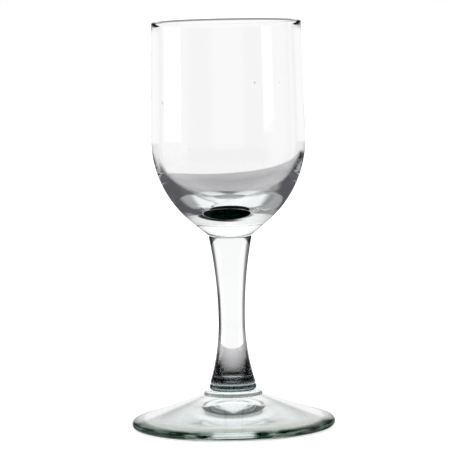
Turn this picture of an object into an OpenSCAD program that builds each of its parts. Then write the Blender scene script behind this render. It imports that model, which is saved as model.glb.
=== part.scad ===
// Liqueur glass of clear soda-lime glass: a bowl with a heavy bottom, a waisted solid stem,
// a collar and a foot, fused hot one on top of the other.
// It stands on z = 0 with its axis on Z, and every piece is an outline turned about that axis.

/* [Foot] */
// Widest diameter of the foot, across its bead
foot_d = 50.2; // [44:0.1:58]
// Height of the foot, from the table to the top of its boss
foot_h = 9; // [7:0.1:12]
// Thickness of the bead round the foot's edge
bead_t = 2; // [1.2:0.1:3]
// Radius of the hollow curve between the boss and the bead
slope_r = 190; // [90:5:400]
// Height of the boss above the hollow curve
boss_t = 1.1; // [1.1:0.1:1.8]
// How far the boss stands out past the collar
boss_out = 1.4; // [0.5:0.1:3]
// Radius of the boss's top edge
boss_edge = 0.9; // [0.2:0.1:1]
// Width of the flat ring that the foot stands on
rest_w = 2.5; // [1.5:0.5:8]
// Rise of the hollow underside at the axis
under_rise = 3.2; // [0.4:0.1:4]

/* [Collar] */
// Height of the collar
collar_h = 1.7; // [1:0.1:3]
// How far the collar's half-round edge stands out past the stem
collar_out = 0.25; // [0.05:0.05:1.5]

/* [Stem] */
// Height of the stem, from the collar to the bowl
stem_h = 36.5; // [28:0.5:60]
// Diameter at the stem's base
stem_base_d = 11.1; // [9:0.1:15]
// Diameter at the stem's waist
waist_d = 6.5; // [5:0.1:8.5]
// Height of the waist above the stem's base
waist_h = 15.6; // [10:0.1:24]
// Diameter at the stem's top
stem_top_d = 10.5; // [9:0.1:14]
// Radius of the fire-polished edges at both ends of the stem
fire_r = 0.3; // [0.1:0.05:0.6]

/* [Bowl] */
// Height of the bowl, from the stem to the lip
bowl_h = 52.8; // [44:0.1:70]
// Outer diameter at the belly
belly_d = 37.9; // [33:0.1:44]
// Height of the belly above the stem
belly_h = 24; // [20:0.5:27]
// Slope of the bowl's base where it leaves the stem, in degrees
base_slope = 40; // [34:1:48]
// How far the bowl's seat stays inside the stem's top edge
seat_in = 0.15; // [0.05:0.05:0.8]
// Outer diameter at the lip
rim_d = 36.7; // [32:0.1:42]
// Wall thickness at the lip
rim_wall = 0.9; // [0.6:0.1:1.6]
// Wall thickness at the belly
belly_wall = 1; // [0.7:0.1:2]
// Thickness of solid glass under the cup
bottom_t = 6.7; // [3:0.1:10]
// Radius of the cup's floor, as a share of the cup's own radius
cup_floor = 1.35; // [1.15:0.05:2]
// Radius of the bend round that floor, as a share of the cup's own radius
cup_bend = 0.9; // [0.7:0.05:0.95]

/* [Hidden] */
clear_glass = [0.87, 0.92, 0.9, 0.5];
arc_steps = 24;
turn_steps = 96;

// Heights where one piece is fused to the next
collar_z = foot_h;
stem_z = collar_z + collar_h;
bowl_z = stem_z + stem_h;
lip_z = bowl_z + bowl_h;

// Radii that a piece takes from the piece it is fused to
collar_edge = collar_h / 2;
collar_flat = stem_base_d / 2 + collar_out - collar_edge;
boss_r = stem_base_d / 2 + collar_out + boss_out;
seat_r = stem_top_d / 2 - seat_in;

// Points of the arc with centre c and radius r, from angle a to angle b
function arc(c, r, a, b) = [
    for (i = [0:arc_steps]) c + r * [cos(a + (b - a) * i / arc_steps), sin(a + (b - a) * i / arc_steps)]
];

// Direction of the vector v, in degrees
function heading(v) = atan2(v[1], v[0]);

// Point at distance p_r from p and q_r from q, on the left of the line from p to q
function meet(p, p_r, q, q_r) =
    let (
        gap = norm(q - p),
        along = (gap * gap + p_r * p_r - q_r * q_r) / (2 * gap),
        side = sqrt(p_r * p_r - along * along),
        ahead = (q - p) / gap
    )
    p + along * ahead + side * [-ahead[1], ahead[0]];

// Radius of an arc that starts along a straight run and strays from it by reach over that run
function sweep_r(run, reach) = (run * run + reach * reach) / (2 * reach);

module turned(outline) {
    color(clear_glass)
        rotate_extrude($fn = turn_steps)
            polygon(outline);
}

// Foot: hollow underside, flat resting ring, round bead, hollow upper slope and a low boss
module foot() {
    bead_r = bead_t / 2;
    bead = [foot_d / 2 - bead_r, bead_r];
    rest_r = bead[0] - rest_w;
    dome_r = sweep_r(rest_r, under_rise);
    dome_c = [0, under_rise - dome_r];
    shelf = [boss_r, foot_h - boss_t];
    slope_c = meet(shelf, slope_r, bead, slope_r + bead_r);
    turned(concat(
        arc(dome_c, dome_r, 90, heading([rest_r, 0] - dome_c)),
        arc(bead, bead_r, -90, heading(slope_c - bead)),
        arc(slope_c, slope_r, heading(bead - slope_c), heading(shelf - slope_c)),
        arc([boss_r - boss_edge, foot_h - boss_edge], boss_edge, 0, 90),
        [[0, foot_h]]
    ));
}

// Collar: a flat disc with a half-round edge
module collar() {
    turned(concat(
        [[0, collar_z]],
        arc([collar_flat, collar_z + collar_edge], collar_edge, -90, 90),
        [[0, stem_z]]
    ));
}

// Stem: two arcs that meet upright at the waist, with a fire-polished edge at each end
module stem() {
    base_r = stem_base_d / 2;
    top_r = stem_top_d / 2;
    waist_r = waist_d / 2;
    waist_z = stem_z + waist_h;
    low = [base_r, stem_z + fire_r];
    high = [top_r, bowl_z - fire_r];
    low_r = sweep_r(waist_z - low[1], base_r - waist_r);
    high_r = sweep_r(high[1] - waist_z, top_r - waist_r);
    low_c = [waist_r + low_r, waist_z];
    high_c = [waist_r + high_r, waist_z];
    turned(concat(
        [[0, stem_z]],
        arc([base_r - fire_r, low[1]], fire_r, -90, 0),
        arc(low_c, low_r, heading(low - low_c) + 360, 180),
        arc(high_c, high_r, 180, heading(high - high_c)),
        arc([top_r - fire_r, high[1]], fire_r, 0, 90),
        [[0, bowl_z]]
    ));
}

// Bowl: a cone from the seat runs into the belly's arc, and the wall leans in to a round lip.
// The cup inside has a low round floor, a tighter bend and a wall that leans to the same lip.
module bowl() {
    lip_r = rim_wall / 2;
    lip = [rim_d / 2 - lip_r, lip_z - lip_r];
    seat = [seat_r, bowl_z];
    belly = [belly_d / 2, bowl_z + belly_h];
    base_out = [sin(base_slope), -cos(base_slope)];
    belly_r = base_out * (seat - belly) / (1 - sin(base_slope));
    belly_c = belly - [belly_r, 0];
    outer_lean = heading(lip - belly_c) - acos((belly_r - lip_r) / norm(lip - belly_c));
    cup_r = belly_d / 2 - belly_wall;
    floor_r = cup_floor * cup_r;
    floor_c = [0, bowl_z + bottom_t + floor_r];
    bend_r = cup_bend * cup_r;
    bend_in = cup_r - bend_r;
    bend_c = [bend_in, floor_c[1] - sqrt(pow(floor_r - bend_r, 2) - bend_in * bend_in)];
    inner_lean = heading(lip - bend_c) - acos((bend_r + lip_r) / norm(lip - bend_c));
    turned(concat(
        [[0, bowl_z], seat],
        arc(belly_c, belly_r, base_slope - 90, outer_lean),
        arc(lip, lip_r, outer_lean, inner_lean + 180),
        arc(bend_c, bend_r, inner_lean, heading(bend_c - floor_c)),
        arc(floor_c, floor_r, heading(bend_c - floor_c), -90)
    ));
}

bowl();
stem();
collar();
foot();
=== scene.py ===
import math

import bpy
import numpy as np
from mathutils import Euler, Matrix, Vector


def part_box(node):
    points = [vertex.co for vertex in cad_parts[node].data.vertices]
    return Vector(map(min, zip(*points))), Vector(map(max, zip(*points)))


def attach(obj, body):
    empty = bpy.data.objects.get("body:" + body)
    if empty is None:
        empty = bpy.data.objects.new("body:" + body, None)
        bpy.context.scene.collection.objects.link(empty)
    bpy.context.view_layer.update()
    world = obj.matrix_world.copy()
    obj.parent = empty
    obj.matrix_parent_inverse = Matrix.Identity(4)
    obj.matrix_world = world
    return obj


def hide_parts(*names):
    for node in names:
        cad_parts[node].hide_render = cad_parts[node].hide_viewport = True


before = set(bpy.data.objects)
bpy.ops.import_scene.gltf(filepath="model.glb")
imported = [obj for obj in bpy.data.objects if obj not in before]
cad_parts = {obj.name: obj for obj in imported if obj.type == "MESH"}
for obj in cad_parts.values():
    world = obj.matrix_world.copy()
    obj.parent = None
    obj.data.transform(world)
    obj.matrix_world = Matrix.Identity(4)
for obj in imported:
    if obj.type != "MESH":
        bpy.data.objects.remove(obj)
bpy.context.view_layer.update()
mm = 0.001
scene = bpy.context.scene
scene.view_settings.view_transform = "Standard"
scene.cycles.max_bounces = 40  # light is thrown about inside solid glass many times
scene.cycles.transmission_bounces = 40
scene.cycles.glossy_bounces = 40
scene.cycles.transparent_max_bounces = 40
print("frame loaded:", len(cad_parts), "nodes")


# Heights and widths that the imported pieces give, in mm
def nodeSize(node):
    low, high = (np.array(corner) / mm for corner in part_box(node))
    return high[0] - low[0], low[2], high[2]


footD, footZ, collarZ = nodeSize("foot")
collarD, _, stemZ = nodeSize("collar")
stemBaseD, _, bowlZ = nodeSize("stem")
bellyD, _, lipZ = nodeSize("bowl")


# Outlines: rows of (radius, height) in mm, from the axis round the piece and back to it

def heading(v):
    # direction of a vector in degrees
    return math.degrees(math.atan2(v[1], v[0]))


def arc(centre, radius, start, end, steps):
    # centre plus radius times (cos, sin) of evenly spaced angles
    turn = np.radians(np.linspace(start, end, steps + 1))
    return np.asarray(centre) + radius * np.column_stack([np.cos(turn), np.sin(turn)])


def line(a, b, steps):
    # evenly spaced points from a to b
    return np.linspace(a, b, steps + 1)


def meet(p, pR, q, qR):
    # the point pR from p and qR from q, on the left of the way from p to q
    gap = np.linalg.norm(q - p)
    ahead = (q - p) / gap
    along = (gap * gap + pR * pR - qR * qR) / (2 * gap)
    side = math.sqrt(pR * pR - along * along)
    return p + along * ahead + side * np.array([-ahead[1], ahead[0]])


def sweepR(run, reach):
    # radius of an arc that leaves a straight run and strays from it by reach
    return (run * run + reach * reach) / (2 * reach)


def lathe(name, outline, marks, turns=256):
    # outline carried round Z: (r cos t, r sin t, z), with one vertex at each end on the axis;
    # marks gives each stretch of the outline a value for every name, kept on its faces
    outline = outline * mm
    ring = outline[1:-1]
    t = np.linspace(0, 2 * np.pi, turns, endpoint=False)
    around = np.stack([np.cos(t), np.sin(t)], axis=1)
    xy = ring[:, None, :1] * around[None]
    z = np.broadcast_to(ring[:, None, 1:], xy.shape[:2] + (1,))
    grid = np.concatenate([xy, z], axis=2).reshape(-1, 3)
    poles = np.array([[0, 0, outline[0, 1]], [0, 0, outline[-1, 1]]])
    verts = np.vstack([poles, grid])
    at = 2 + np.arange(len(ring) * turns).reshape(len(ring), turns)
    nextAt = np.roll(at, -1, axis=1)
    quads = np.stack([at[:-1], nextAt[:-1], nextAt[1:], at[1:]], axis=2).reshape(-1, 4)
    lowFan = np.column_stack([np.zeros(turns, int), nextAt[0], at[0]])
    highFan = np.column_stack([np.ones(turns, int), at[-1], nextAt[-1]])
    mesh = bpy.data.meshes.new(name)
    mesh.from_pydata(verts, [], lowFan.tolist() + quads.tolist() + highFan.tolist())
    mesh.shade_smooth()
    mesh.set_sharp_from_angle(angle=math.radians(30))
    for mark, values in marks.items():
        mesh.attributes.new(mark, "FLOAT", "FACE").data.foreach_set("value", np.repeat(values, turns))
    piece = bpy.data.objects.new(name, mesh)
    scene.collection.objects.link(piece)
    return piece


seam = dict(gap=0.02, collarR=collarD / 2 - (stemZ - collarZ) / 2)  # mm; where two pieces touch

# Bowl: cone from the stem, belly arc, wall leaning in to a round lip; cup with a low floor and a tighter bend
bowlShape = dict(lipD=36.7, lipWall=0.9, bellyH=24.0, baseSlope=40.0, bellyWall=1.0, bottomT=6.7,
                 floorShare=1.35, bendShare=0.9, seatR=5.1, joinR=4.95)


def bowlOutline(s):
    lipR = s["lipWall"] / 2
    lip = np.array([s["lipD"] / 2 - lipR, lipZ - lipR])
    seat = np.array([s["seatR"], bowlZ + seam["gap"] / 2])
    belly = np.array([bellyD / 2, bowlZ + s["bellyH"]])
    slope = math.radians(s["baseSlope"])
    out = np.array([math.sin(slope), -math.cos(slope)])
    bellyR = out @ (seat - belly) / (1 - math.sin(slope))
    bellyC = belly - [bellyR, 0]
    reach = np.linalg.norm(lip - bellyC)
    outerLean = heading(lip - bellyC) - math.degrees(math.acos((bellyR - lipR) / reach))
    cupR = bellyD / 2 - s["bellyWall"]
    floorR, bendR = s["floorShare"] * cupR, s["bendShare"] * cupR
    floorC = np.array([0, bowlZ + s["bottomT"] + floorR])
    bendIn = cupR - bendR
    bendC = np.array([bendIn, floorC[1] - math.sqrt((floorR - bendR) ** 2 - bendIn ** 2)])
    reach = np.linalg.norm(lip - bendC)
    innerLean = heading(lip - bendC) - math.degrees(math.acos((bendR + lipR) / reach))
    turnIn = heading(bendC - floorC)
    outer = arc(bellyC, bellyR, s["baseSlope"] - 90, outerLean, 60)
    edge = arc(lip, lipR, outerLean, innerLean + 180, 20)
    cup = np.vstack([arc(bendC, bendR, innerLean, turnIn, 70), arc(floorC, floorR, turnIn, -90, 30)[1:]])
    return np.vstack([[[0, seat[1]], [s["joinR"], seat[1]]], line(seat, outer[0], 12)[:-1], outer,
                      line(outer[-1], edge[0], 12)[1:-1], edge, line(edge[-1], cup[0], 12)[1:-1], cup])


# Stem: two arcs that meet upright at the waist, with a fire-polished edge at each end
stemShape = dict(topD=10.5, waistD=6.5, waistH=15.6, fireR=0.3)


def stemOutline(s):
    baseR, topR, waistR, fireR = stemBaseD / 2, s["topD"] / 2, s["waistD"] / 2, s["fireR"]
    low, high = stemZ + seam["gap"] / 2, bowlZ - seam["gap"] / 2
    waistZ = stemZ + s["waistH"]
    lowR = sweepR(waistZ - low - fireR, baseR - waistR)
    highR = sweepR(high - fireR - waistZ, topR - waistR)
    lowC, highC = np.array([waistR + lowR, waistZ]), np.array([waistR + highR, waistZ])
    lowTurn = heading(np.array([baseR, low + fireR]) - lowC) + 360
    highTurn = heading(np.array([topR, high - fireR]) - highC)
    return np.vstack([[[0, low], [seam["collarR"], low]],
                      arc([baseR - fireR, low + fireR], fireR, -90, 0, 10),
                      arc(lowC, lowR, lowTurn, 180, 60)[1:], arc(highC, highR, 180, highTurn, 60)[1:],
                      arc([topR - fireR, high - fireR], fireR, 0, 90, 10)[1:], [[0, high]]])


# Collar: a flat disc with a half-round edge
def collarOutline():
    low, high = collarZ + seam["gap"] / 2, stemZ - seam["gap"] / 2
    edge = arc([seam["collarR"], (low + high) / 2], (high - low) / 2, -90, 90, 40)
    return np.vstack([[[0, low]], edge, [[0, high]]])


# Foot: hollow underside, flat resting ring, bead, hollow upper slope and a low boss
footShape = dict(beadT=2.0, slopeR=190.0, bossT=1.1, bossR=7.2, bossEdge=0.9, restW=2.5, underRise=3.2)


def footOutline(s):
    beadR = s["beadT"] / 2
    bead = np.array([footD / 2 - beadR, footZ + beadR])
    restR = bead[0] - s["restW"]
    domeR = sweepR(restR, s["underRise"])
    domeC = np.array([0, footZ + s["underRise"] - domeR])
    top = collarZ - seam["gap"] / 2
    shelf = np.array([s["bossR"], top - s["bossT"]])
    slopeC = meet(shelf, s["slopeR"], bead, s["slopeR"] + beadR)
    boss = arc([s["bossR"] - s["bossEdge"], top - s["bossEdge"]], s["bossEdge"], 0, 90, 10)
    return np.vstack([arc(domeC, domeR, 90, heading([restR, footZ] - domeC), 60),
                      line([restR, footZ], [bead[0], footZ], 6)[1:-1],
                      arc(bead, beadR, -90, heading(slopeC - bead), 40),
                      arc(slopeC, s["slopeR"], heading(bead - slopeC), heading(shelf - slopeC), 60)[1:],
                      boss, [[seam["collarR"], top], [0, top]]])


# Glass

glass = dict(tint=(1.0, 1.0, 1.0), ior=1.5, dullness=0.11)
inside = dict(bowl=((0.55, 0.87, 0.83), 2.5), stem=((0.55, 0.87, 0.83), 2.5), collar=((0.2, 0.75, 0.8), 40.0),
              foot=((0.55, 0.87, 0.83), 3.5))


def nodeIn(tree, kind, **settings):
    node = tree.nodes.new(kind)
    for key, value in settings.items():
        setattr(node, key, value)
    return node


def maths(tree, operation, *values):
    # one Math node; each value is a number or another node's socket
    node = tree.nodes.new("ShaderNodeMath")
    node.operation = operation
    for socket, value in zip(node.inputs, values):
        if isinstance(value, (int, float)):
            socket.default_value = value
        else:
            tree.links.new(value, socket)
    return node.outputs[0]


def times(tree, a, b):
    return maths(tree, "MULTIPLY", a, b)


def rest(tree, value):
    # what value leaves of 1
    return maths(tree, "SUBTRACT", 1, value)


def ease(tree, value, middle, width):
    # 0 well under middle, 1 well over it, smooth across width
    node = tree.nodes.new("ShaderNodeMapRange")
    node.interpolation_type = "SMOOTHSTEP"
    tree.links.new(value, node.inputs["Value"])
    half = times(tree, width, 0.5)
    tree.links.new(maths(tree, "SUBTRACT", middle, half), node.inputs["From Min"])
    tree.links.new(maths(tree, "ADD", middle, half), node.inputs["From Max"])
    return node.outputs["Result"]


def blendColour(tree, amount, a, b):
    # a where amount is 0, b where it is 1; colours are tuples or sockets
    node = tree.nodes.new("ShaderNodeMix")
    node.data_type = "RGBA"
    tree.links.new(amount, node.inputs["Factor"])
    for socket, value in ((node.inputs[6], a), (node.inputs[7], b)):
        if isinstance(value, tuple):
            socket.default_value = (*value, 1)
        else:
            tree.links.new(value, socket)
    return node.outputs[2]


def rampOf(tree, stops, full):
    # a colour ramp whose stops are given on a scale from 0 to full
    ramp = tree.nodes.new("ShaderNodeValToRGB")
    while len(ramp.color_ramp.elements) < len(stops):
        ramp.color_ramp.elements.new(0.5)
    for stop, (at, colour) in zip(ramp.color_ramp.elements, stops):
        stop.position = at / full
        stop.color = (*colour, 1)
    return ramp


def objectSpot(tree):
    # Object coordinates, whole and split
    at = tree.nodes.new("ShaderNodeTexCoord").outputs["Object"]
    way = tree.nodes.new("ShaderNodeSeparateXYZ")
    tree.links.new(at, way.inputs[0])
    return at, way.outputs


def handledGroup():
    # specks: dust and seeds, one in some cells of a random grid;
    # ripple: the slow waver of a fire-polished skin
    tree = bpy.data.node_groups.new("handled", "ShaderNodeTree")
    tree.interface.new_socket("Place", in_out="INPUT", socket_type="NodeSocketVector")
    for name in ("Cells", "Size", "Share", "Waves"):
        tree.interface.new_socket(name, in_out="INPUT", socket_type="NodeSocketFloat")
    for name in ("Specks", "Ripple"):
        tree.interface.new_socket(name, in_out="OUTPUT", socket_type="NodeSocketFloat")
    given, out = tree.nodes.new("NodeGroupInput").outputs, tree.nodes.new("NodeGroupOutput").inputs
    grid, waves = tree.nodes.new("ShaderNodeTexVoronoi"), tree.nodes.new("ShaderNodeTexNoise")
    waves.inputs["Detail"].default_value = 1
    for node, scale in ((grid, "Cells"), (waves, "Waves")):
        tree.links.new(given["Place"], node.inputs["Vector"])
        tree.links.new(given[scale], node.inputs["Scale"])
    draw = tree.nodes.new("ShaderNodeSeparateColor")
    tree.links.new(grid.outputs["Color"], draw.inputs[0])
    picked = maths(tree, "LESS_THAN", draw.outputs[0], given["Share"])
    size = times(tree, given["Size"], draw.outputs[1])
    near = maths(tree, "LESS_THAN", grid.outputs["Distance"], size)
    tree.links.new(times(tree, picked, near), out["Specks"])
    tree.links.new(waves.outputs["Fac"], out["Ripple"])
    return tree


handled = handledGroup()
# cells per metre, largest speck as a share of a cell, share of cells with one, waves per metre, ripple in mm
wear = dict(bowl=(300, 0.12, 0.05, 130, 0.012), stem=(300, 0.12, 0.04, 160, 0.006),
            collar=(300, 0.1, 0.04, 300, 0.006), foot=(300, 0.12, 0.06, 110, 0.008))
speckTone = dict(colour=(0.3, 0.295, 0.29), dullness=0.3)


def useMarks(material, cells, size, share, waves, depth):
    tree = material.node_tree
    skin = tree.nodes["Principled BSDF"]
    marks = tree.nodes.new("ShaderNodeGroup")
    marks.node_tree = handled
    tree.links.new(objectSpot(tree)[0], marks.inputs["Place"])
    for name, value in zip(("Cells", "Size", "Share", "Waves"), (cells, size, share, waves)):
        marks.inputs[name].default_value = value
    fused = nodeIn(tree, "ShaderNodeAttribute", attribute_name="fused").outputs["Fac"]
    specks = times(tree, marks.outputs["Specks"], maths(tree, "LESS_THAN", fused, 0.5))
    base, rough = skin.inputs["Base Color"], skin.inputs["Roughness"]
    tree.links.new(blendColour(tree, specks, base.links[0].from_socket, speckTone["colour"]), base)
    dull = maths(tree, "MULTIPLY_ADD", specks, speckTone["dullness"], rough.links[0].from_socket)
    tree.links.new(dull, rough)
    bump = tree.nodes.new("ShaderNodeBump")
    bump.inputs["Distance"].default_value = depth * mm
    tree.links.new(marks.outputs["Ripple"], bump.inputs["Height"])
    tree.links.new(bump.outputs["Normal"], skin.inputs["Normal"])


def clearGlass(name, colour, density):
    material = bpy.data.materials.new(name)
    material.use_nodes = True
    tree = material.node_tree
    skin = tree.nodes["Principled BSDF"]
    skin.inputs["Base Color"].default_value = (*glass["tint"], 1)
    dull = nodeIn(tree, "ShaderNodeAttribute", attribute_name="dull")
    tree.links.new(times(tree, dull.outputs["Fac"], glass["dullness"]), skin.inputs["Roughness"])
    skin.inputs["Transmission Weight"].default_value = 1
    fused = nodeIn(tree, "ShaderNodeAttribute", attribute_name="fused")
    bend = nodeIn(tree, "ShaderNodeMapRange")
    bend.inputs["To Min"].default_value = glass["ior"]
    bend.inputs["To Max"].default_value = 1.0
    tree.links.new(fused.outputs["Fac"], bend.inputs["Value"])
    tree.links.new(bend.outputs["Result"], skin.inputs["IOR"])
    body = nodeIn(tree, "ShaderNodeVolumeAbsorption")
    body.inputs["Color"].default_value = (*colour, 1)
    body.inputs["Density"].default_value = density
    tree.links.new(body.outputs["Volume"], tree.nodes["Material Output"].inputs["Volume"])
    return material


def radiusOf(tree, x, y):
    # distance from the axis
    return maths(tree, "SQRT", maths(tree, "ADD", times(tree, x, x), times(tree, y, y)))


def unthrown(tree):
    # 1 for a ray that no glass has thrown back yet
    return maths(tree, "LESS_THAN", tree.nodes.new("ShaderNodeLightPath").outputs["Glossy Depth"], 0.5)


def entering(tree):
    # 1 for a ray that has not passed into any glass yet
    return maths(tree, "LESS_THAN", tree.nodes.new("ShaderNodeLightPath").outputs["Transmission Depth"], 0.5)


def thrownOnce(tree, crossings):
    # 1 for a ray that has been thrown back once and has passed this many surfaces
    rays = tree.nodes.new("ShaderNodeLightPath").outputs
    once = maths(tree, "COMPARE", rays["Glossy Depth"], 1, 0.5)
    return times(tree, once, maths(tree, "COMPARE", rays["Transmission Depth"], crossings, 0.5))


shadeFrom = 0.02  # share of shade from which the glass bends no light


def shade(material, amount, colour):
    # painted shade: a dark colour laid over the colour that the material has, in place of light the glass
    # would throw back, but not at a seam
    tree = material.node_tree
    fused = nodeIn(tree, "ShaderNodeAttribute", attribute_name="fused").outputs["Fac"]
    amount = times(tree, amount, maths(tree, "LESS_THAN", fused, 0.5))
    socket = tree.nodes["Principled BSDF"].inputs["Base Color"]
    tree.links.new(blendColour(tree, amount, socket.links[0].from_socket, colour), socket)
    bendLess(material, maths(tree, "GREATER_THAN", amount, shadeFrom), 1.0)


def tint(material, amount, under, colour):
    tree = material.node_tree
    socket = tree.nodes["Principled BSDF"].inputs["Base Color"]
    tree.links.new(blendColour(tree, amount, under, colour), socket)


def bendLess(material, amount, ior):
    # brings the bending of light down to ior where amount is 1
    tree = material.node_tree
    socket = tree.nodes["Principled BSDF"].inputs["IOR"]
    bend = tree.nodes.new("ShaderNodeMix")
    tree.links.new(amount, bend.inputs["Factor"])
    tree.links.new(socket.links[0].from_socket, bend.inputs[2])
    bend.inputs[3].default_value = ior
    tree.links.new(bend.outputs[0], socket)


def dimSheen(material, amount):
    # takes the reflection off the surface where shade is painted into the glass
    tree = material.node_tree
    sheen = blendColour(tree, amount, (1.0, 1.0, 1.0), (0.1, 0.1, 0.1))
    tree.links.new(sheen, tree.nodes["Principled BSDF"].inputs["Specular Tint"])


# Seat of the bowl: clear straight through; painted shade, black for rays that the cup's floor mirrors, a
# painted dark reflection of the stem below, which takes the light. The dark spot runs a little past the seat,
# more to the left and the back.
seatShade = dict(colour=(0.0, 0.00002, 0.00001), aside=-0.6, back=0.6, radius=5.9, soft=0.25, high=4.0,
                sharp=0.3)


def paintSeatShade(material):
    tree = material.node_tree
    t = seatShade
    _, (x, y, z) = objectSpot(tree)
    aside = maths(tree, "SUBTRACT", x, t["aside"] * mm)
    away = radiusOf(tree, aside, maths(tree, "SUBTRACT", y, t["back"] * mm))
    spot = rest(tree, ease(tree, away, t["radius"] * mm, t["soft"] * mm))
    spot = times(tree, spot, maths(tree, "LESS_THAN", z, (bowlZ + t["high"]) * mm))
    # painted shade only for rays that have been thrown back
    mirrored = times(tree, spot, rest(tree, unthrown(tree)))
    tint(material, mirrored, glass["tint"], t["colour"])
    bendLess(material, maths(tree, "GREATER_THAN", mirrored, t["sharp"]), 1.0)


# Lip: it bends light less than the wall does, and painted shade draws a dark line on its inner side for rays
# from the camera
lipBendAndShade = dict(colour=(0.1, 0.095, 0.105), depth=0.5, soft=0.25, ior=1.05, iorDepth=0.8, iorSoft=0.7,
               facing=0.75, facingSoft=0.3)


def softLipWithShadeLine(material):
    tree = material.node_tree
    t = lipBendAndShade
    _, (x, y, z) = objectSpot(tree)
    near = ease(tree, z, (lipZ - t["depth"]) * mm, t["soft"] * mm)
    bendLess(material, ease(tree, z, (lipZ - t["iorDepth"]) * mm, t["iorSoft"] * mm), t["ior"])
    crestR = (bowlShape["lipD"] - bowlShape["lipWall"]) / 2
    within = maths(tree, "LESS_THAN", radiusOf(tree, x, y), crestR * mm)
    # the painted dark line: inner side of the lip, first hit from the camera, less where it turns edge-on
    first = tree.nodes.new("ShaderNodeLightPath").outputs["Is Camera Ray"]
    facing = nodeIn(tree, "ShaderNodeLayerWeight").outputs["Facing"]
    turned = ease(tree, facing, t["facing"], t["facingSoft"])
    amount = times(tree, maths(tree, "SUBTRACT", near, turned), times(tree, within, first))
    under = tree.nodes["Principled BSDF"].inputs["Base Color"].links[0].from_socket
    tint(material, maths(tree, "MAXIMUM", amount, 0), under, t["colour"])


# Stem, painted shade and painted light for rays not thrown back: dark where it meets the collar, higher up
# towards its sides, with a paler foot and one pale ring, a dark line down each side and dark top corners;
# under: painted shade on the stem as the foot's underside mirrors it
stemShadeAndLight = dict(colour=(0.003, 0.003, 0.0035), baseH=1.2, climb=14.0, soft=3.4,
                side=0.5, sideSoft=0.46, sideShare=0.9, cornerFrom=0.2, cornerClimb=5.0, cornerSoft=0.8,
                footH=0.65, footLight=0.45, ringH=1.85, ringHalf=0.2, ringLight=0.18, lightSoft=0.2,
                underH=8.3, underSoft=1.6, underSpread=1.8, underColour=(0.012, 0.015, 0.015))


def paintStemShade(material):
    tree = material.node_tree
    t = stemShadeAndLight
    facing = nodeIn(tree, "ShaderNodeLayerWeight").outputs["Facing"]
    _, (x, y, z) = objectSpot(tree)
    rise = maths(tree, "SUBTRACT", maths(tree, "DIVIDE", z, mm), stemZ)
    low = maths(tree, "SUBTRACT", rise, times(tree, facing, t["climb"]))
    base = rest(tree, ease(tree, low, t["baseH"], t["soft"]))
    # painted light: a paler foot and one pale ring, where less shade is painted
    foot = times(tree, rest(tree, ease(tree, rise, t["footH"], t["lightSoft"])), t["footLight"])
    ring = maths(tree, "ABSOLUTE", maths(tree, "SUBTRACT", rise, t["ringH"]))
    ring = times(tree, rest(tree, ease(tree, ring, t["ringHalf"], t["lightSoft"])), t["ringLight"])
    light = times(tree, maths(tree, "MAXIMUM", foot, ring), rest(tree, facing))
    base = times(tree, base, rest(tree, light))
    side = times(tree, ease(tree, facing, t["side"], t["sideSoft"]), t["sideShare"])
    reach = times(tree, maths(tree, "SUBTRACT", facing, t["cornerFrom"]), t["cornerClimb"])
    high = maths(tree, "SUBTRACT", maths(tree, "SUBTRACT", bowlZ - stemZ, rise), reach)
    corner = rest(tree, ease(tree, high, 0, t["cornerSoft"]))
    dark = maths(tree, "MAXIMUM", base, maths(tree, "MAXIMUM", side, corner))
    tint(material, times(tree, dark, unthrown(tree)), glass["tint"], t["colour"])
    # under: painted shade for rays thrown back once that have passed five surfaces
    spread = maths(tree, "MULTIPLY_ADD", maths(tree, "ABSOLUTE", x), t["underSpread"] / mm, rise)
    under = ease(tree, spread, t["underH"], t["underSoft"])
    shade(material, times(tree, under, thrownOnce(tree, 5)), t["underColour"])


# Boss and collar, where the underside mirrors them: painted shade in front, none behind
bossShade = dict(colour=(0.002, 0.003, 0.003), low=7.9, radius=6.3, half=1.25, back=1.9, collarBack=3.6,
                soft=1.2)

# Collar: painted rings of shade and light, by height above its seat in mm, that waver a little
collarShadeRings = [(0, 0.25), (0.15, 0.3), (0.3, 1.0), (0.65, 0.9), (0.75, 0.003), (0.9, 0.003), (1.05, 0.1),
               (1.4, 0.08), (1.55, 0.9), (1.7, 1.0)]
collarWaver = dict(scale=260, reach=0.25, red=0.94)


def paintCollarShade(material):
    tree = material.node_tree
    at, way = objectSpot(tree)
    waver = tree.nodes.new("ShaderNodeTexNoise")
    waver.inputs["Scale"].default_value = collarWaver["scale"]
    tree.links.new(at, waver.inputs["Vector"])
    rise = maths(tree, "SUBTRACT", maths(tree, "DIVIDE", way["Z"], mm), collarZ)
    shift = maths(tree, "SUBTRACT", waver.outputs["Fac"], 0.5)
    shifted = maths(tree, "MULTIPLY_ADD", shift, collarWaver["reach"], rise)
    top = collarShadeRings[-1][0]
    ramp = rampOf(tree, [(h, (collarWaver["red"] * grey, grey, grey)) for h, grey in collarShadeRings], top)
    tree.links.new(maths(tree, "DIVIDE", shifted, top), ramp.inputs[0])
    # painted rings of shade and light for rays not thrown back
    tint(material, unthrown(tree), glass["tint"], ramp.outputs[0])
    # painted shade in front for rays thrown back once
    front = rest(tree, ease(tree, way["Y"], bossShade["collarBack"] * mm, bossShade["soft"] * mm))
    shade(material, times(tree, front, thrownOnce(tree, 3)), bossShade["colour"])


# Edge of the foot: green where the glass is thick, darkened by painted shade in streaks that run along it,
# with one clear spot in front, the lens, where no shade is painted
edge = dict(dark=(0.0004, 0.005, 0.0018), light=(0.2, 0.3, 0.22), fromR=22.6, toR=24.6,
            low=0.3, lowSoft=0.3, high=2.3, highSoft=0.6,
            streak=(150, 150, 1300), streakAt=0.47, streakSoft=0.13,
            lens=0.981, lensSoft=0.012, lensLow=0.8, lensLowSoft=0.2)
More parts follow.
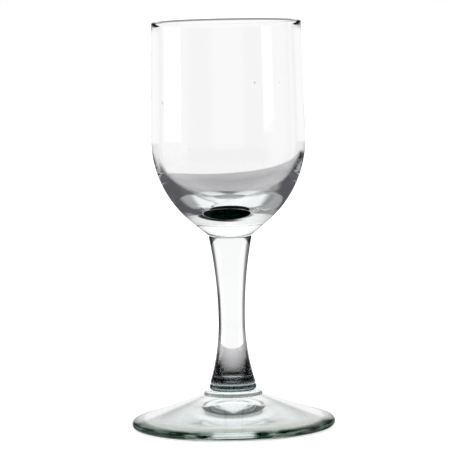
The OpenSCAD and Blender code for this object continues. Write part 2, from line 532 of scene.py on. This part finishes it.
# Knots of painted shade, deeper green, in that edge: azimuth from the front and half width in degrees, height
# and half height in mm
edgeShadeKnots = dict(colour=(0.00008, 0.0006, 0.0002), spots=[
    (-31, 5, 1.75, 0.35), (-18, 4, 1.1, 0.4), (16, 5, 1.55, 0.6), (29, 4, 1.7, 0.4), (-57, 8, 0.9, 0.35),
    (-79, 8, 1.3, 0.5), (52, 7, 1.0, 0.3), (72, 9, 2.0, 0.5), (112, 8, 1.2, 0.5), (146, 6, 1.5, 0.4),
    (176, 6, 1.2, 0.5), (-158, 6, 1.5, 0.4), (-121, 8, 1.1, 0.5)], soft=0.8)


def paintEdgeShade(material):
    tree = material.node_tree
    at, (x, y, z) = objectSpot(tree)
    radius = radiusOf(tree, x, y)
    middle, width = (edge["fromR"] + edge["toR"]) / 2 * mm, (edge["toR"] - edge["fromR"]) * mm
    near = ease(tree, radius, middle, width)
    place = tree.nodes.new("ShaderNodeMapping")
    place.inputs["Scale"].default_value = edge["streak"]
    tree.links.new(at, place.inputs["Vector"])
    streaks = tree.nodes.new("ShaderNodeTexNoise")
    streaks.inputs["Scale"].default_value = 1
    streaks.inputs["Detail"].default_value = 3
    tree.links.new(place.outputs[0], streaks.inputs["Vector"])
    above = ease(tree, z, edge["low"] * mm, edge["lowSoft"] * mm)
    below = rest(tree, ease(tree, z, edge["high"] * mm, edge["highSoft"] * mm))
    near = times(tree, near, times(tree, above, below))
    # painted shade in streaks, from lighter to darker green
    deeper = ease(tree, streaks.outputs["Fac"], edge["streakAt"], edge["streakSoft"])
    streaked = blendColour(tree, deeper, edge["light"], edge["dark"])
    # in front, the lens: a spot left without painted shade
    ahead = times(tree, y, -1)
    front = ease(tree, maths(tree, "DIVIDE", ahead, radius), edge["lens"], edge["lensSoft"])
    lens = times(tree, front, ease(tree, z, edge["lensLow"] * mm, edge["lensLowSoft"] * mm))
    dark = times(tree, near, rest(tree, lens))
    azimuth = times(tree, maths(tree, "ARCTAN2", x, ahead), 180 / math.pi)
    # painted shade over the whole foot for rays thrown back onto it from outside, and in knots along the edge
    knots = times(tree, rest(tree, unthrown(tree)), entering(tree))
    for middle, half, height, tall in edgeShadeKnots["spots"]:
        aside = maths(tree, "WRAP", maths(tree, "SUBTRACT", azimuth, middle), 180, -180)
        along = maths(tree, "DIVIDE", aside, half)
        above = maths(tree, "DIVIDE", maths(tree, "SUBTRACT", z, height * mm), tall * mm)
        knot = rest(tree, ease(tree, radiusOf(tree, along, above), 1, edgeShadeKnots["soft"]))
        knots = maths(tree, "MAXIMUM", knots, times(tree, near, knot))
    tint(material, knots, blendColour(tree, dark, glass["tint"], streaked), edgeShadeKnots["colour"])
    dimSheen(material, maths(tree, "MAXIMUM", dark, knots))
    # painted shade on the boss, in front, for rays thrown back once
    boss = times(tree, maths(tree, "GREATER_THAN", z, bossShade["low"] * mm),
                 maths(tree, "COMPARE", radius, bossShade["radius"] * mm, bossShade["half"] * mm))
    fore = rest(tree, ease(tree, y, bossShade["back"] * mm, bossShade["soft"] * mm))
    shade(material, times(tree, times(tree, boss, fore), thrownOnce(tree, 1)), bossShade["colour"])


def marked(outline, fusedEnds, dullBelow=-1.0):
    # fused: the disc at either end that another piece covers, 2 for the bowl's seat;
    # dull: what faces down under a radius in mm
    out = np.diff(outline[:, 0])
    fused = np.zeros(len(out))
    fused[[0, -1]] = fusedEnds
    dull = (out > 0) & (outline[1:, 0] <= dullBelow)
    return dict(fused=fused, dull=dull.astype(float))


melts = {name: clearGlass(name + "Glass", *body) for name, body in inside.items()}
paintSeatShade(melts["bowl"])
softLipWithShadeLine(melts["bowl"])
paintStemShade(melts["stem"])
paintCollarShade(melts["collar"])
paintEdgeShade(melts["foot"])
for name, marks in wear.items():
    useMarks(melts[name], *marks)
outlines = dict(bowl=(bowlOutline(bowlShape), (2, 0)), stem=(stemOutline(stemShape), (1, 1)),
                collar=(collarOutline(), (1, 1)), foot=(footOutline(footShape), (0, 1), footD / 2 - 1))
for node, (outline, *ends) in outlines.items():
    piece = lathe(node + "Glass", outline, marked(outline, *ends))
    piece.data.materials.append(melts[node])
    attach(piece, "root")
    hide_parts(node)
    print(node, len(piece.data.polygons), "faces")


# Camera: where the photograph's view puts it, in mm and degrees
view = dict(away=808.0, height=130.6, aside=0.0, pitch=5.796, roll=1.13, focalPx=3300.0, sidePx=460.0)
camera = bpy.data.cameras.new("camera")
camera.sensor_width = 36.0
camera.lens = camera.sensor_width * view["focalPx"] / view["sidePx"]
camera.clip_start = 0.05
eye = bpy.data.objects.new("camera", camera)
eye.rotation_mode = "XYZ"
tilt = Euler((math.radians(90 - view["pitch"]), 0, 0)).to_matrix()
eye.rotation_euler = (tilt @ Matrix.Rotation(math.radians(-view["roll"]), 3, "Z")).to_euler()
eye.location = (view["aside"] * mm, -view["away"] * mm, view["height"] * mm)
scene.collection.objects.link(eye)
scene.camera = eye
print("camera at", [round(c / mm, 1) for c in eye.location], "mm")


# Studio: what the glass sees all round it, by direction in degrees. Azimuth 0 is behind the glass, seen from
# the camera, and 90 is on its right; drop is how far a direction lies under the foot of the white backdrop.
backdropFoot = dict(height=-16.6, tilt=0.62, side=12.0)
wallDrop = [(0.0, (0.56, 0.55, 0.565)), (3, (0.49, 0.48, 0.495)), (6.5, (0.39, 0.38, 0.4)),
            (21, (0.44, 0.435, 0.445)), (24, (0.4, 0.4, 0.41)), (27, (0.12, 0.122, 0.126)),
            (33, (0.12, 0.122, 0.126)), (45, (1, 1, 1))]
wallTable = dict(half=24, fade=14, full=60, edge=0.8)
# what the patches lie on: light thrown about in bowl and stem, in the foot, or far down in the glass, and the
# first mirror image
tones = dict(thrown=(0.103, 0.098, 0.113), foot=(0.72, 0.73, 0.72), deep=(0.9, 0.9, 0.9),
             mirrored=(0.08, 0.08, 0.08))
# surfaces passed: up to solid through one piece, past deep far down in the glass
passes = dict(solid=3.5, deep=4.5)
# middle azimuth, half width, fade, lowest height, highest height, blur, level
wallPatches = [(17, 8, 6, -33, -13, 4, 0.12), (-24, 11, 10, -35, -16, 4, 0.25), (12, 9, 4, -60, -38, 4, 0.85),
               (-12, 9, 4, -60, -38, 4, 0.85)]
solidPatches = [(57, 14, 9, -40, 1, 8, 0.07), (58, 12, 9, 1, 40, 8, 0.4), (-50, 8, 7, -40, 40, 8, 0.36),
                (-68, 10, 6, -40, 40, 8, 0.6)]
thrownPatches = [(0, 51, 14, -90, 90, 1, 1.0), (-72, 16, 20, -20, 90, 4, 0.44), (58, 9, 12, -12, 90, 8, 0.42),
                 (-95, 30, 20, 40, 90, 15, 0.5), (180, 26, 14, -8, 16, 6, 0.5), (0, 400, 1, -90, -30, 6, 0.6),
                 (18, 24, 12, -32, -9, 5, 0.02), (-20, 13, 10, -34, -20, 6, 0.25),
                 (-80, 26, 16, 44, 90, 6, 0.95), (0, 51, 14, 20, 90, 6, 1.25)]
deepPatches = [(180, 90, 20, -90, -25, 8, 1.4), (0, 70, 40, 46, 90, 10, 1.0), (180, 75, 20, 8, 60, 8, 0.05)]
mirrorPatches = [(0, 60, 15, -5, -0.7, 1.4, 0.85), (180, 110, 20, -48, 0, 10, 0.62),
                 (180, 110, 20, -6, 5, 2, 0.62), (90, 30, 20, -22, 3.5, 2, 1.4),
                 (-90, 30, 20, -22, 3.5, 2, 1.4), (0, 70, 30, 26, 90, 14, 1.0), (0, 16, 8, -3, 15, 6, 0.9)]
softBoxes = [(-88, 18, 2, -3.2, 6, 0.5, 3.4), (116, 9, 2, -2.0, 6, 0.3, 3.4)]
footPatches = [(0, 40, 20, -90, 90, 1, 1.0), (-60, 14, 12, -8, 22, 6, 0.9), (57, 12, 10, -8, 22, 6, 0.85),
               (58, 20, 12, 24, 60, 8, 0.4), (-56, 12, 12, 24, 44, 8, 0.4), (180, 50, 30, -90, 90, 1, 0.5)]


mouthVeils = 5  # clear sheets that mark a ray through the mouth of the cup; no other ray meets as many


def patchGroup():
    # a soft-edged rectangle of azimuth and height, laid over the colour that comes in
    tree = bpy.data.node_groups.new("patch", "ShaderNodeTree")
    tree.interface.new_socket("Under", in_out="INPUT", socket_type="NodeSocketColor")
    for name in ("Azimuth", "Height", "Middle", "Half", "Fade", "Low", "High", "Blur", "Level"):
        tree.interface.new_socket(name, in_out="INPUT", socket_type="NodeSocketFloat")
    tree.interface.new_socket("Colour", in_out="OUTPUT", socket_type="NodeSocketColor")
    given = tree.nodes.new("NodeGroupInput").outputs
    away = maths(tree, "SUBTRACT", given["Azimuth"], given["Middle"])
    away = maths(tree, "ABSOLUTE", maths(tree, "WRAP", away, 180, -180))
    across = rest(tree, ease(tree, away, given["Half"], given["Fade"]))
    up = ease(tree, given["Height"], given["Low"], given["Blur"])
    down = rest(tree, ease(tree, given["Height"], given["High"], given["Blur"]))
    amount = times(tree, across, times(tree, up, down))
    level = tree.nodes.new("ShaderNodeCombineColor")
    for part in ("Red", "Green", "Blue"):
        tree.links.new(given["Level"], level.inputs[part])
    out = tree.nodes.new("NodeGroupOutput").inputs
    tree.links.new(blendColour(tree, amount, given["Under"], level.outputs[0]), out["Colour"])
    return tree


def studioWorld():
    world = bpy.data.worlds.new("studio")
    world.use_nodes = True
    tree = world.node_tree
    way = tree.nodes.new("ShaderNodeSeparateXYZ")
    tree.links.new(tree.nodes.new("ShaderNodeTexCoord").outputs["Generated"], way.inputs[0])
    degree = 180 / math.pi
    azimuth = times(tree, maths(tree, "ARCTAN2", way.outputs["X"], way.outputs["Y"]), degree)
    height = times(tree, maths(tree, "ARCSINE", way.outputs["Z"]), degree)
    turn = maths(tree, "MAXIMUM", azimuth, -backdropFoot["side"])
    turn = maths(tree, "MINIMUM", turn, backdropFoot["side"])
    backdrop = maths(tree, "MULTIPLY_ADD", turn, backdropFoot["tilt"], backdropFoot["height"])
    drop = maths(tree, "SUBTRACT", backdrop, height)
    group = patchGroup()

    def laid(under, patches):
        for patch in patches:
            node = tree.nodes.new("ShaderNodeGroup")
            node.node_tree = group
            if isinstance(under, tuple):
                node.inputs["Under"].default_value = (*under, 1)
            else:
                tree.links.new(under, node.inputs["Under"])
            tree.links.new(azimuth, node.inputs["Azimuth"])
            tree.links.new(height, node.inputs["Height"])
            for name, value in zip(("Middle", "Half", "Fade", "Low", "High", "Blur", "Level"), patch):
                node.inputs[name].default_value = value
            under = node.outputs[0]
        return under

    def table(over, stops):
        # over above the backdrop's foot, a ramp of drop below it, within half of the azimuth behind the glass
        ramp = rampOf(tree, stops, wallTable["full"])
        tree.links.new(maths(tree, "DIVIDE", drop, wallTable["full"]), ramp.inputs[0])
        aside = maths(tree, "ABSOLUTE", azimuth)
        within = rest(tree, ease(tree, aside, wallTable["half"], wallTable["fade"]))
        within = times(tree, within, ease(tree, drop, 0, wallTable["edge"]))
        return blendColour(tree, within, over, ramp.outputs[0])

    white = (1.0, 1.0, 1.0)
    walls = laid(table(white, wallDrop), wallPatches)
    solid = laid(white, solidPatches)
    thrown = laid(tones["thrown"], thrownPatches)
    foot = laid(tones["foot"], footPatches)
    deep = laid(tones["deep"], deepPatches)
    mirrored = laid(laid(tones["mirrored"], mirrorPatches), softBoxes)
    rays = tree.nodes.new("ShaderNodeLightPath").outputs
    passed, veils = rays["Transmission Depth"], rays["Transparent Depth"]
    straight = blendColour(tree, maths(tree, "LESS_THAN", passed, passes["solid"]), walls, solid)
    straight = blendColour(tree, maths(tree, "GREATER_THAN", veils, mouthVeils - 0.5), straight, white)
    thrown = blendColour(tree, maths(tree, "GREATER_THAN", veils, 0.5), thrown, foot)
    inner = blendColour(tree, maths(tree, "GREATER_THAN", passed, passes["deep"]), thrown, deep)
    back = blendColour(tree, maths(tree, "LESS_THAN", passed, 0.5), inner, mirrored)
    seen = blendColour(tree, maths(tree, "GREATER_THAN", rays["Glossy Depth"], 0.5), straight, back)
    plain = maths(tree, "MAXIMUM", rays["Is Camera Ray"], rays["Is Diffuse Ray"])
    tree.links.new(blendColour(tree, plain, seen, white), tree.nodes["Background"].inputs["Color"])
    scene.world = world


studioWorld()
print("studio built")

# Floor: pale paper, half its width in m, a hair under the glass in m, and its own glow for the camera
paperTone = dict(half=3.0, under=-0.0002, colour=(0.9, 0.9, 0.9), dullness=0.9, glow=0.5)
floorMesh = bpy.data.meshes.new("floor")
corners = np.array([(-1, -1, 0), (1, -1, 0), (1, 1, 0), (-1, 1, 0)]) * paperTone["half"]
floorMesh.from_pydata(corners, [], [(0, 1, 2, 3)])
floor = bpy.data.objects.new("floor", floorMesh)
scene.collection.objects.link(floor)
floor.location.z = paperTone["under"]
floor.visible_transmission = False
floor.visible_glossy = False
paper = bpy.data.materials.new("paper")
paper.use_nodes = True
tree = paper.node_tree
sheet = tree.nodes["Principled BSDF"].inputs
sheet["Base Color"].default_value = (*paperTone["colour"], 1)
sheet["Roughness"].default_value = paperTone["dullness"]
sheet["Emission Color"].default_value = (1, 1, 1, 1)
first = tree.nodes.new("ShaderNodeLightPath").outputs["Is Camera Ray"]
tree.links.new(times(tree, first, paperTone["glow"]), sheet["Emission Strength"])
floorMesh.materials.append(paper)

# Painted shadow near the foot: a disc that glows in its painted colours, seen only through the glass.
# Straight through one piece it is a table that darkens towards the foot, brighter along the view than across
# it; through stem and foot together it is painted black.
shadowGround = dict(radius=68.0, lift=-0.1, footR=26.0, across=0.3, black=(0.003, 0.004, 0.004), blackR=29.0,
              onePiece=2.5, twoPieces=4.5)
shadowGroundStops = [(0, (1.0, 1.0, 1.0)), (6, (0.9, 0.95, 0.92)), (10, (0.7, 0.76, 0.72)), (13, (0.5, 0.55, 0.51)),
               (16, (0.39, 0.44, 0.4)), (20, (0.34, 0.39, 0.35)), (25, (0.28, 0.33, 0.29)),
               (26, (0.05, 0.055, 0.05)), (30, (0.09, 0.09, 0.09)), (33, (0.22, 0.22, 0.22)),
               (39, (0.36, 0.355, 0.36)), (47, (0.5, 0.49, 0.5)), (60, (0.62, 0.61, 0.63)),
               (68, (0.68, 0.67, 0.69))]


def paintShadowGround():
    material = bpy.data.materials.new("shadowGround")
    material.use_nodes = True
    tree = material.node_tree
    rays = tree.nodes.new("ShaderNodeLightPath").outputs
    way = tree.nodes.new("ShaderNodeSeparateXYZ")
    tree.links.new(tree.nodes.new("ShaderNodeTexCoord").outputs["Object"], way.inputs[0])
    xx, yy = (times(tree, socket, socket) for socket in way.outputs[:2])
    rr = maths(tree, "ADD", xx, yy)
    radius = maths(tree, "DIVIDE", maths(tree, "SQRT", rr), mm)
    ramp = rampOf(tree, shadowGroundStops, shadowGround["radius"])
    tree.links.new(maths(tree, "DIVIDE", radius, shadowGround["radius"]), ramp.inputs[0])
    along = maths(tree, "POWER", maths(tree, "DIVIDE", yy, rr), 2)
    outside = maths(tree, "GREATER_THAN", radius, shadowGround["footR"])
    dim = times(tree, outside, times(tree, rest(tree, along), 1 - shadowGround["across"]))
    painted = blendColour(tree, dim, ramp.outputs[0], (0.0, 0.0, 0.0))
    one = maths(tree, "LESS_THAN", rays["Transmission Depth"], shadowGround["onePiece"])
    two = maths(tree, "LESS_THAN", rays["Transmission Depth"], shadowGround["twoPieces"])
    two = times(tree, two, maths(tree, "LESS_THAN", radius, shadowGround["blackR"]))
    unveiled = maths(tree, "LESS_THAN", rays["Transparent Depth"], mouthVeils - 0.5)
    plain = times(tree, unthrown(tree), unveiled)
    glow = tree.nodes.new("ShaderNodeEmission")
    tree.links.new(blendColour(tree, one, shadowGround["black"], painted), glow.inputs["Color"])
    shown = tree.nodes.new("ShaderNodeMixShader")
    tree.links.new(times(tree, plain, maths(tree, "MAXIMUM", one, two)), shown.inputs[0])
    tree.links.new(tree.nodes.new("ShaderNodeBsdfTransparent").outputs[0], shown.inputs[1])
    tree.links.new(glow.outputs[0], shown.inputs[2])
    tree.links.new(shown.outputs[0], tree.nodes["Material Output"].inputs["Surface"])
    return material


shadowGroundMesh = bpy.data.meshes.new("shadowGround")
turn = np.linspace(0, 2 * np.pi, 128, endpoint=False)
around = np.column_stack([np.cos(turn), np.sin(turn), 0 * turn])
shadowGroundMesh.from_pydata(around * shadowGround["radius"] * mm, [], [list(range(len(turn)))])
shadowGroundMesh.materials.append(paintShadowGround())
shadowGroundDisc = bpy.data.objects.new("shadowGround", shadowGroundMesh)
scene.collection.objects.link(shadowGroundDisc)
shadowGroundDisc.location.z = shadowGround["lift"] * mm
shadowGroundDisc.visible_camera = shadowGroundDisc.visible_diffuse = False
shadowGroundDisc.visible_glossy = shadowGroundDisc.visible_shadow = False

# A clear veil over the foot, so that the studio can tell light thrown about in the foot from light thrown
# about in the bowl: rows of (radius, height) in mm
veilRows = [(27.0, -0.05), (27.0, 3.0), (9.0, 10.2), (6.4, 10.6)]
veilVerts = np.vstack([around * radius + [0, 0, height] for radius, height in veilRows]) * mm
at = np.arange(len(veilVerts)).reshape(len(veilRows), -1)
nextAt = np.roll(at, -1, axis=1)
veilFaces = np.stack([at[:-1], nextAt[:-1], nextAt[1:], at[1:]], axis=2).reshape(-1, 4)
veilMesh = bpy.data.meshes.new("veil")
veilMesh.from_pydata(veilVerts, [], veilFaces.tolist())
air = bpy.data.materials.new("air")
air.use_nodes = True
tree = air.node_tree
clear = tree.nodes.new("ShaderNodeBsdfTransparent").outputs[0]
tree.links.new(clear, tree.nodes["Material Output"].inputs["Surface"])
veilMesh.materials.append(air)
veil = bpy.data.objects.new("veil", veilMesh)
scene.collection.objects.link(veil)
veil.visible_camera = veil.visible_diffuse = veil.visible_shadow = False

# More veils in the mouth of the cup, for rays from the camera only, so that a view down into it sees a plain
# white table
mouth = dict(radius=17.4, under=0.5, apart=0.05)
mouthMesh = bpy.data.meshes.new("mouth")
mouthHeights = lipZ - mouth["under"] - mouth["apart"] * np.arange(mouthVeils)
mouthVerts = np.vstack([around * mouth["radius"] + [0, 0, height] for height in mouthHeights]) * mm
mouthMesh.from_pydata(mouthVerts, [], np.arange(len(mouthVerts)).reshape(mouthVeils, -1).tolist())
mouthMesh.materials.append(air)
mouthVeil = bpy.data.objects.new("mouth", mouthMesh)
scene.collection.objects.link(mouthVeil)
mouthVeil.visible_diffuse = mouthVeil.visible_glossy = False
mouthVeil.visible_transmission = mouthVeil.visible_shadow = False
print("floor, ground and veils staged")
